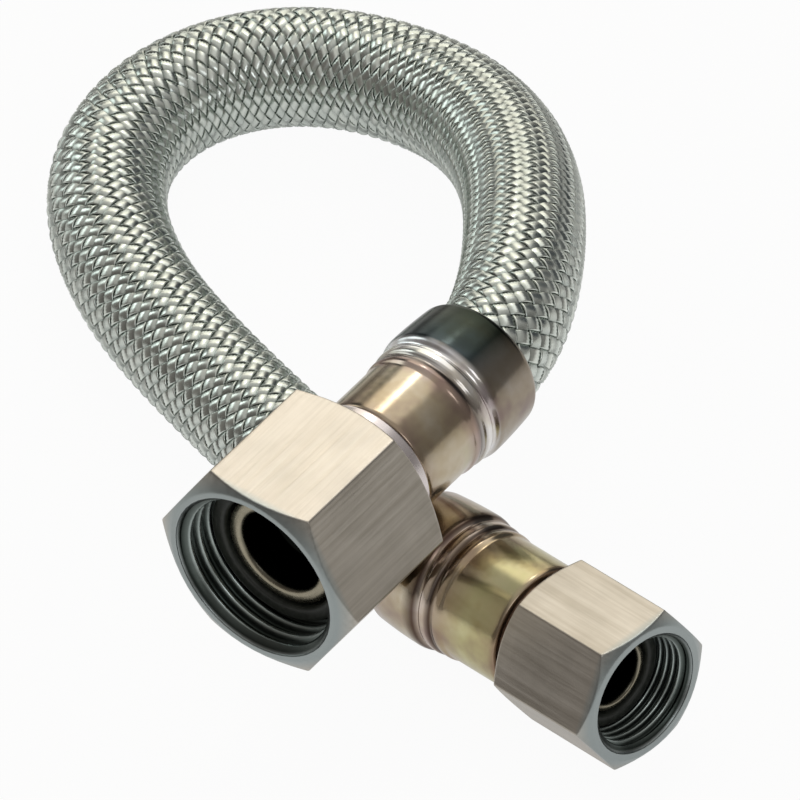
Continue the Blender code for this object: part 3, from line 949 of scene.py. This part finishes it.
def seal_rubber(name, group):
    """Black moulded rubber with a faint skin gloss and fine grain."""
    material, tree, shader = new_material(name, 0.4, 0.0)
    grain = grain_on(tree, group, 1400.0, 3.0)
    body = ramp(tree, grain, [(0.3, (0.018, 0.022, 0.018)), (0.7, (0.04, 0.045, 0.038))])
    tree.links.new(body, shader.inputs["Base Color"])
    tree.links.new(spread(tree, grain, 0.38, 0.52), shader.inputs["Roughness"])
    bump(tree, shader, grain, distance=0.05 * MM, strength=0.5)
    return material


def core_rubber(name, group):
    """Near-black tube wall, dusty in patches."""
    material, tree, shader = new_material(name, 0.7, 0.0)
    grain = grain_on(tree, group, 600.0, 3.0)
    body = ramp(tree, grain, [(0.3, (0.016, 0.019, 0.017)), (0.7, (0.035, 0.04, 0.036))])
    tree.links.new(body, shader.inputs["Base Color"])
    return material


def braid_wire(name):
    """Bright stainless wire: each plait has its own tone, low parts carry painted shade and high
    parts a painted highlight.
    """
    material, tree, shader = new_material(name, 0.3, 1.0)
    height = node(tree, "ShaderNodeAttribute", attribute_name="height")
    tone = node(tree, "ShaderNodeAttribute", attribute_name="tone")
    # Painted shade where a plait dips under the others, painted highlight where it rides over them.
    body = ramp(tree, height.outputs["Fac"], [
        (0.0, (0.14, 0.16, 0.15)), (0.45, (0.48, 0.52, 0.495)), (1.0, (0.84, 0.885, 0.845)),
    ])
    shade = ramp(tree, tone.outputs["Fac"], [(0.0, (0.84, 0.86, 0.85)), (1.0, (1.0, 1.0, 0.98))])
    tree.links.new(mixed(tree, 1.0, body, shade, "MULTIPLY"), shader.inputs["Base Color"])
    tree.links.new(spread(tree, tone.outputs["Fac"], 0.20, 0.31), shader.inputs["Roughness"])
    return material


def floor_paper(name):
    """White paper: mostly its own white, partly lit, so that it still takes the shadow.

    Metal sees it greyer, and it fades with distance from the line into the room.
    """
    material, tree, shader = new_material(name, 0.9, 0.0)
    shader.inputs["Base Color"].default_value = (0.90, 0.90, 0.90, 1.0)
    shader.inputs["Specular IOR Level"].default_value = 0.0
    place = tree.nodes.new("ShaderNodeTexCoord")
    reach = node(tree, "ShaderNodeVectorMath", operation="LENGTH")
    tree.links.new(place.outputs["Object"], reach.inputs[0])
    far = share_between(tree, reach.outputs["Value"], *FLOOR_FADE)
    rays = tree.nodes.new("ShaderNodeLightPath")
    seen = node(tree, "ShaderNodeMath", operation="MAXIMUM")
    tree.links.new(rays.outputs["Is Glossy Ray"], seen.inputs[0])
    tree.links.new(rays.outputs["Is Transmission Ray"], seen.inputs[1])
    fade = node(tree, "ShaderNodeMath", operation="MULTIPLY")
    tree.links.new(seen.outputs[0], fade.inputs[0])
    tree.links.new(spread(tree, far, *FLOOR_IN_METAL), fade.inputs[1])
    direct = node(tree, "ShaderNodeMath", operation="MULTIPLY")
    tree.links.new(rays.outputs["Is Camera Ray"], direct.inputs[0])
    direct.inputs[1].default_value = OWN_WHITE
    share = node(tree, "ShaderNodeMath", operation="MAXIMUM")
    tree.links.new(direct.outputs[0], share.inputs[0])
    tree.links.new(fade.outputs[0], share.inputs[1])
    glow = node(tree, "ShaderNodeEmission", Strength=1.0)
    mix = tree.nodes.new("ShaderNodeMixShader")
    end = tree.nodes["Material Output"]
    tree.links.new(share.outputs[0], mix.inputs["Fac"])
    tree.links.new(shader.outputs["BSDF"], mix.inputs[1])
    tree.links.new(glow.outputs["Emission"], mix.inputs[2])
    tree.links.new(mix.outputs[0], end.inputs["Surface"])
    return material


# Stage

# Azimuth and height of the middle, inner and outer angle in degrees, and colour
ROOM_PATCHES = [
    (120.0, 45.0, 17.0, 24.0, (1.34, 1.26, 1.10)),
    (86.0, 56.0, 9.0, 17.0, (1.10, 1.08, 1.04)),
    (128.0, 14.0, 9.0, 18.0, (1.20, 1.16, 1.05)),
    (177.0, 30.0, 9.0, 17.0, (1.65, 1.78, 1.72)),
    (178.0, 10.0, 5.0, 13.0, (1.10, 1.20, 1.17)),
    (152.0, 28.0, 6.0, 14.0, (0.08, 0.09, 0.085)),
    (78.0, 18.0, 14.0, 26.0, (0.07, 0.075, 0.08)),
    (-125.0, 30.0, 15.0, 45.0, (0.16, 0.145, 0.135)),
]
LAMPS_AIM = (-0.02, 0.02, 0.02)


def add_floor(material):
    """Square sheet just below the surface that the line lies on."""
    mesh = bpy.data.meshes.new("floor")
    reach, level = 0.7, -0.0002
    corners = [(-reach, -reach), (reach, -reach), (reach, reach), (-reach, reach)]
    mesh.from_pydata([(x, y, level) for x, y in corners], [], [(0, 1, 2, 3)])
    mesh.materials.append(material)
    floor = bpy.data.objects.new("floor", mesh)
    bpy.context.scene.collection.objects.link(floor)


def add_world():
    """Dim warm room, brighter overhead, with soft windows and dark corners in it.

    Each patch covers the directions within a cone about its middle: its share is 1 inside
    the inner angle and falls smoothly to 0 at the outer one.
    """
    world = bpy.data.worlds.new("studio")
    bpy.context.scene.world = world
    world.use_nodes = True
    tree = world.node_tree
    back = tree.nodes["Background"]
    place = tree.nodes.new("ShaderNodeTexCoord")
    split = tree.nodes.new("ShaderNodeSeparateXYZ")
    tree.links.new(place.outputs["Generated"], split.inputs[0])
    sky = ramp(tree, split.outputs["Z"], [
        (0.0, (0.20, 0.19, 0.18)), (0.30, (0.23, 0.22, 0.21)), (0.62, (0.33, 0.32, 0.31)),
        (1.0, (0.62, 0.60, 0.57)),
    ])
    for azimuth, height, inner, outer, colour in ROOM_PATCHES:
        flat = math.cos(math.radians(height))
        toward = node(tree, "ShaderNodeVectorMath", operation="DOT_PRODUCT")
        toward.inputs[1].default_value = (
            flat * math.cos(math.radians(azimuth)), flat * math.sin(math.radians(azimuth)),
            math.sin(math.radians(height)),
        )
        tree.links.new(place.outputs["Generated"], toward.inputs[0])
        edge = node(tree, "ShaderNodeMapRange", interpolation_type="SMOOTHSTEP")
        edge.inputs["From Min"].default_value = math.cos(math.radians(outer))
        edge.inputs["From Max"].default_value = math.cos(math.radians(inner))
        tree.links.new(toward.outputs["Value"], edge.inputs["Value"])
        sky = mixed(tree, edge.outputs["Result"], sky, colour)
    tree.links.new(sky, back.inputs["Color"])
    back.inputs["Strength"].default_value = 1.0


def add_panel(name, place, size, power, colour):
    """Soft square lamp at a place, turned to face LAMPS_AIM."""
    lamp = bpy.data.lights.new(name, "AREA")
    lamp.size = size
    lamp.energy = power
    lamp.color = colour
    holder = bpy.data.objects.new(name, lamp)
    holder.location = place
    toward = Vector(LAMPS_AIM) - Vector(place)
    holder.rotation_euler = toward.to_track_quat("-Z", "Y").to_euler()
    bpy.context.scene.collection.objects.link(holder)


# Making

add_camera()
grain = grain_group()
centreline = hose_centreline()
hose_frames = carried_frames(centreline)
core = hose_core(centreline, hose_frames, core_rubber("core_rubber", grain))
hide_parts("steel_braid", "inner_tube")
wire = braid_wire("braid_wire")
plait_pieces = [
    plaits(centreline, hose_frames, hand, first, PLAITS_PER_PIECE, wire)
    for hand in (1, -1) for first in range(0, PLAITS, PLAITS_PER_PIECE)
]

lines = drawn_lines_group()
rubber = seal_rubber("seal_rubber", grain)
for fitting, stops in ((UPPER, UPPER_TINT_AND_PAINTED_LIGHT), (LOWER, LOWER_TINT_AND_PAINTED_LIGHT)):
    nut(fitting, nickel(fitting.name + "_nickel", fitting, lines))
    washer(fitting, rubber)
    stem(fitting, tail_metal(fitting.name + "_tail_metal", fitting, grain))
    ferrule(fitting, chromate_with_painted_light(fitting.name + "_chromate_and_painted_light", fitting, stops, lines))

add_floor(floor_paper("floor_paper"))
add_world()
add_panel("top_panel", place=(-0.45, 0.85, 1.25), size=0.22, power=0.7, colour=(1.0, 0.97, 0.92))
add_panel("side_panel", place=(0.9, -0.5, 0.9), size=0.5, power=1.2, colour=(0.95, 0.97, 1.0))

bpy.context.scene.view_settings.view_transform = "Standard"
